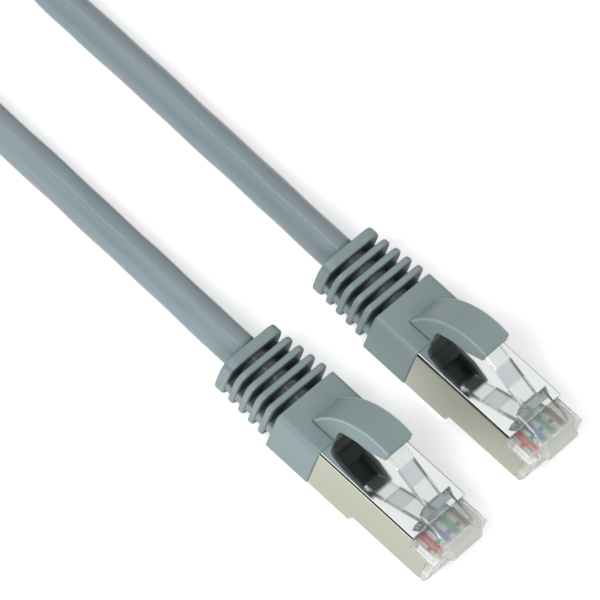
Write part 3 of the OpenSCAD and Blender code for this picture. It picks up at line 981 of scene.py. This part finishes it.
class CABLE_OT_boots(bpy.types.Operator):
    """Moulds the boots with their ribs and hoods in one piece, its faces split across the hood's
    root
    """

    bl_idname = "patch_cable.boots"
    bl_label = "Boots"

    def execute(self, context):
        own = settings().boot
        boot = block("boot", (RELIEF_X, BOOT_X), (-BOOT_W / 2, BOOT_W / 2), (0, BOOT_TOP))
        round_edges(boot, 1.0, 6, along_x)
        soften(boot, own.edge, 3, 50)
        add(boot, hood_solid(own))
        for k in range(RIBS + 1):
            add(boot, rib_solid(own, k))
        cut(
            boot,
            rod("bore", (-COLLAR_END - 1, -20), 0, CABLE_Z, 2.83, 48),
            rod("tail room", (-27.9, -20), 0, CABLE_Z, 3.26, 48),
        )
        slice_bend(boot, BEND_START, BEND_END, 12)
        keep_side_view(smooth(boot))
        for side, piece in both_plugs(boot, "boot_moulding").items():
            paint(piece, boot_finish(side))
            origin = plug_origin(side)
            "hood_" + side
            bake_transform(piece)
            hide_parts("boot_" + side, "hood_" + side)
        return {"FINISHED"}


def arm_top(x):
    """Height of the latch arm's upper face."""
    return 10.45 - ARM_SLOPE * (x - CATCH_X)


class CABLE_OT_latches(bpy.types.Operator):
    """Models the clear latches: rolled root, sloping plate with its catch, and the narrow arm"""

    bl_idname = "patch_cable.latches"
    bl_label = "Latches"

    def execute(self, context):
        own = settings().clear
        front = [(CATCH_X, 11.21), (-5.07, 9.99), (-2.77, 9.56)]
        front += arc(ROOT_CENTRE, ROOT_R, 70.6, -190, 30)
        front += [(-2.9, 8.77), (CATCH_X, arm_top(CATCH_X) - 1)]
        latch = soften(plate("latch", front, LATCH_W), own.edge, 2, 30)
        base, top = arm_top(ARM_FROM), arm_top(-14.1)
        arm = [(ARM_FROM, base), (-14.1, top), (-15.9, top + 0.28), (-16.2, top)]
        arm += [(-16.2, top - 0.6), (-15.9, top - 0.9), (-14.1, top - 1), (ARM_FROM, base - 1)]
        add(latch, soften(plate("arm", arm, ARM_W), own.edge, 2, 30))
        thumb = block("finger flat", (-FLAT_HALF, FLAT_HALF), (-2, 2), (-0.15, 0.15))
        turn = Matrix.Rotation(math.atan(ARM_SLOPE), 4, "Y")
        thumb.data.transform(Matrix.Translation((FLAT_X, 0, arm_top(FLAT_X))) @ turn)
        cut(latch, thumb)
        for way in (-1, 1):
            y = sorted((way * 1.62, way * 1.9))
            cut(latch, block("notch", (-7.0, ARM_FROM), y, (10.5, 12)))
        smooth(clean(latch), 30)
        for side, piece in both_plugs(latch, "latch_lever").items():
            paint(piece, latch_finish(side))
            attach(piece, "latch_" + side)
            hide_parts("latch_" + side)
        return {"FINISHED"}


def way_y(way):
    """Place across the plug of one of its ways."""
    return (way - (WAYS - 1) / 2) * PITCH


def housing_shell(edge):
    """Outside of the housing: deep rear, slim front, and bare cheeks as wide as the shield."""
    step = SHIELD_TOP_X + 0.03
    nose = [(-0.5, NOSE_LOW), (0, 2.8), (0, NOSE_TOP), (step, NOSE_TOP)]
    side = [(-21.5, 0.35), (STEP_X, 0.35), (STEP_X, NOSE_LOW)] + nose
    side += [(step, 7.85), (-21.5, 7.85)]
    front = [(-1.27, NOSE_LOW)] + nose + [(step, 6.18), (-1.27, 6.18)]
    shell = add(plate("housing", side, CORE_W), plate("cheeks", front, PLUG_W))
    return soften(clean(shell), edge, 2, 40)


def cheek_window(way):
    """Cutter for the shallow window in one cheek."""
    middle = way * (LATCH_W + PLUG_W) / 4
    across = (middle - 1.01, middle + 1.01)
    window = block("window", (-4.3, -0.4), across, (NOSE_TOP - 0.25, NOSE_TOP + 0.3))
    round_edges(window, 0.4, 4, lambda p, q: abs(p.x - q.x) < 1e-4 and abs(p.y - q.y) < 1e-4)
    return window


class CABLE_OT_housings(bpy.types.Operator):
    """Models the clear housings with their channels, slots and windows"""

    bl_idname = "patch_cable.housings"
    bl_label = "Housings"

    def execute(self, context):
        housing = housing_shell(settings().clear.edge)
        cut(housing, cheek_window(-1), cheek_window(1))
        cut(housing, plate("root seat", arc(ROOT_CENTRE, ROOT_R + 0.05, 0, 352.5, 47), 6.86))
        for way in range(WAYS):
            y = way_y(way)
            cut(
                housing,
                rod("channel", (-6.6, -0.8), y, WIRE_Z, 0.54, 24),
                block("slot", (-4.1, 0.1), (y - 0.19, y + 0.19), (NOSE_LOW - 0.1, WIRE_Z)),
            )
        cut(
            housing,
            block("bar room", (-11, -6.5), (-4.56, 4.56), (3.62, 6.88)),
            block("mouth", (-21.6, -10.9), (-4.56, 4.56), (2.35, 6.88)),
        )
        smooth(housing, 30)
        for side, piece in both_plugs(housing, "clear_housing").items():
            finish = clear_finish(side)
            paint(piece, finish)
            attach(piece, "cable")
            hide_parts("housing_" + side)
            repaint("load_bar_" + side, finish)
        return {"FINISHED"}


class CABLE_OT_shields(bpy.types.Operator):
    """Folds the plated shields round the housings, with their crimp tails"""

    bl_idname = "patch_cable.shields"
    bl_label = "Shields"

    def execute(self, context):
        own = settings().metal
        half, inner = PLUG_W / 2, PLUG_W / 2 - SHEET
        shield = block("shield", (BOOT_X, STEP_X), (-half, half), (0.05, PLUG_TOP))
        round_edges(shield, FOLD_R, 6, along_x)
        front = block("front half", (STEP_X - 0.1, -1.3), (-half, half), (1.2, PLUG_TOP))
        round_edges(front, FOLD_R, 6, along_x)
        add(shield, front)
        cut(
            shield,
            block("room", (BOOT_X - 0.1, 0.1), (-inner, inner), (0.32, PLUG_TOP - SHEET)),
            block("bare underside", (STEP_X, 0.1), (-6, 6), (0.5, NOSE_LOW)),
            block("floor edge", (STEP_X, 0.1), (-inner, inner), (1.5, 2.6)),
            block("bare top", (SHIELD_TOP_X, 0.1), (-6, 6), (PLUG_TOP - 2, 8.3)),
        )
        soften(clean(shield), own.edge, 2, 40)
        tail = rod("crimp tail", (-27.3, -23.3), 0, CABLE_Z, 3.23, 64)
        cut(
            tail,
            rod("tail bore", (-27.4, -23.2), 0, CABLE_Z, 2.96, 64),
            block("tail gap", (-27.4, -23.2), (-1, 1), (0, CABLE_Z)),
        )
        add(shield, tail, block("strap", (-23.7, -22.2), (-1.5, 1.5), (7.71, 7.98)))
        smooth(shield, 30)
        for side, piece in both_plugs(shield, "folded_shield").items():
            paint(piece, plated_finish("nickel plating " + side, own.tint, own.gloss, side=side))
            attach(piece, "cable")
            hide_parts("shield_" + side)
        return {"FINISHED"}


WIRE_TINTS = {
    "orange": (0.80, 0.10, 0.09),
    "green": (0.02, 0.45, 0.22),
    "blue": (0.10, 0.22, 0.60),
    "brown": (0.24, 0.08, 0.05),
}


class CABLE_OT_conductors(bpy.types.Operator):
    """Finishes the conductors, their cores, the contacts, the foil and the drain wire"""

    bl_idname = "patch_cable.conductors"
    bl_label = "Conductors"

    def execute(self, context):
        gold = plated_finish("gold plating", (0.86, 0.62, 0.24), 0.16)
        copper = plated_finish("bare copper", (0.80, 0.42, 0.25), 0.22)
        foil = plated_finish("foil", (0.80, 0.81, 0.82), 0.28)
        tinned = plated_finish("tinned wire", (0.66, 0.67, 0.68), 0.25)
        for name, tint in WIRE_TINTS.items():
            plain = insulation_finish(f"{name} insulation", tint)
            ringed = insulation_finish(f"white and {name} insulation", (0.78, 0.77, 0.74), tint)
            for side in SIDES:
                repaint(f"{name}_wire_{side}", plain)
                repaint(f"white_{name}_wire_{side}", ringed)
        for side in SIDES:
            repaint("contacts_" + side, gold)
            repaint("cores_" + side, copper)
            repaint("foil_wrap_" + side, foil)
            repaint("drain_wire_" + side, tinned)
        return {"FINISHED"}


KEY_PLACE = Vector((-0.1, -1.0, 0.9))
FRONT_PLACE = Vector((0.95, -0.75, 0.75))
LAMP_SIZE = 0.6
FLOOR_GLOW = 0.45
DARK_WAY = Vector((-0.2267, -0.948, 0.203))
STRIP_NORMAL = Vector((0, -0.988, -0.156))


class CABLE_OT_stage(bpy.types.Operator):
    """Sets the pale floor, the even sky and the soft side and front lights"""

    bl_idname = "patch_cable.stage"
    bl_label = "Stage"

    def execute(self, context):
        own = settings().stage
        deselect()
        bpy.ops.mesh.primitive_plane_add(size=6, location=(0, 0, -0.00005))
        floor = newest("floor")
        s = Surface("floor white")
        seen = self.seen(s)
        tint = s.mix(s.noise(s.place, 3.0, 3.0), rgba(own.floor_tint, 0.99), rgba(own.floor_tint))
        plain = s.node("ShaderNodeBsdfDiffuse", {}, {"Color": tint})
        glow = s.node("ShaderNodeEmission", {}, {"Color": WHITE, "Strength": seen * FLOOR_GLOW})
        both = s.node("ShaderNodeAddShader", {}, {0: plain[0], 1: glow[0]})
        s.node("ShaderNodeOutputMaterial", {}, {"Surface": both[0]})
        paint(floor, s.material)
        self.sky(context, own)
        self.soft_light(context, "side light", KEY_PLACE, own.key)
        self.soft_light(context, "front light", FRONT_PLACE, own.front)
        context.scene.view_settings.view_transform = "Standard"
        return {"FINISHED"}

    @staticmethod
    def seen(finish):
        """1 for the rays that show a background: from the camera, off gloss and through glass."""
        path = finish.node("ShaderNodeLightPath", {}, {})
        return (path["Is Camera Ray"] + path["Is Glossy Ray"] + path["Is Transmission Ray"]).clamp()

    def sky(self, context, own):
        """Even sky; gloss and glass see it white, with one dark patch and a thin bright strip."""
        world = bpy.data.worlds.new("studio")
        world.use_nodes = True
        context.scene.world = world
        s = Finish(world.node_tree)
        path = s.node("ShaderNodeLightPath", {}, {})
        toward = s.node("ShaderNodeTexCoord", {}, {})["Generated"]
        dark = s.along(toward, DARK_WAY.normalized()).ramp(0.8, 0.93) * (1 - path["Is Camera Ray"])
        bright = 1 - dark * 0.98
        later = path["Diffuse Depth"].clamp()
        seen = self.seen(s) * (1 - later)
        mirrored = path["Is Glossy Ray"] * later
        off_strip = s.along(toward, STRIP_NORMAL).math("ABSOLUTE")
        straight = path["Is Glossy Ray"] * (1 - later) * (1 - path["Transmission Depth"].clamp())
        glint = off_strip.fall(0.05, 0.08) * straight
        level = seen * bright + (1 - seen) * (1 - mirrored * 0.92) * own.sky + glint * own.strip
        sky = s.node("ShaderNodeBackground", {}, {"Color": WHITE, "Strength": level})
        s.node("ShaderNodeOutputWorld", {}, {"Surface": sky[0]})

    def soft_light(self, context, name, place, watts):
        """Round area lamp turned to the object, itself unseen."""
        light = bpy.data.lights.new(name, "AREA")
        light.energy = watts
        light.shape = "DISK"
        light.size = LAMP_SIZE
        lamp = bpy.data.objects.new(name, light)
        context.scene.collection.objects.link(lamp)
        lamp.location = place
        lamp.rotation_euler = (-place).to_track_quat("-Z", "Y").to_euler()
        lamp.visible_glossy = False
        lamp.visible_transmission = False
        lamp.visible_camera = False


class CABLE_PT_sidebar(bpy.types.Panel):
    """Lists the cable's pieces and their settings"""

    bl_idname = "CABLE_PT_sidebar"
    bl_label = "Patch cable"
    bl_space_type = "VIEW_3D"
    bl_region_type = "UI"
    bl_category = "Patch cable"

    def draw(self, context):
        for operator in OPERATORS:
            self.layout.operator(operator.bl_idname)
        for group in ("jacket", "boot", "metal", "clear", "stage"):
            box = self.layout.box()
            own = getattr(context.scene.patch_cable, group)
            for key in own.__annotations__:
                box.prop(own, key)


GROUPS = (JacketSettings, BootSettings, MetalSettings, ClearSettings, StageSettings, CableSettings)
OPERATORS = (
    CABLE_OT_camera,
    CABLE_OT_cable,
    CABLE_OT_stage,
    CABLE_OT_boots,
    CABLE_OT_latches,
    CABLE_OT_housings,
    CABLE_OT_shields,
    CABLE_OT_conductors,
)


def register():
    for made in GROUPS + OPERATORS + (CABLE_PT_sidebar,):
        bpy.utils.register_class(made)
    bpy.types.Scene.patch_cable = PointerProperty(type=CableSettings)


def unregister():
    del bpy.types.Scene.patch_cable
    for made in reversed(GROUPS + OPERATORS + (CABLE_PT_sidebar,)):
        bpy.utils.unregister_class(made)


def main():
    register()
    for operator in OPERATORS:
        area, action = operator.bl_idname.split(".")
        getattr(getattr(bpy.ops, area), action)()


if __name__ == "__main__":
    main()
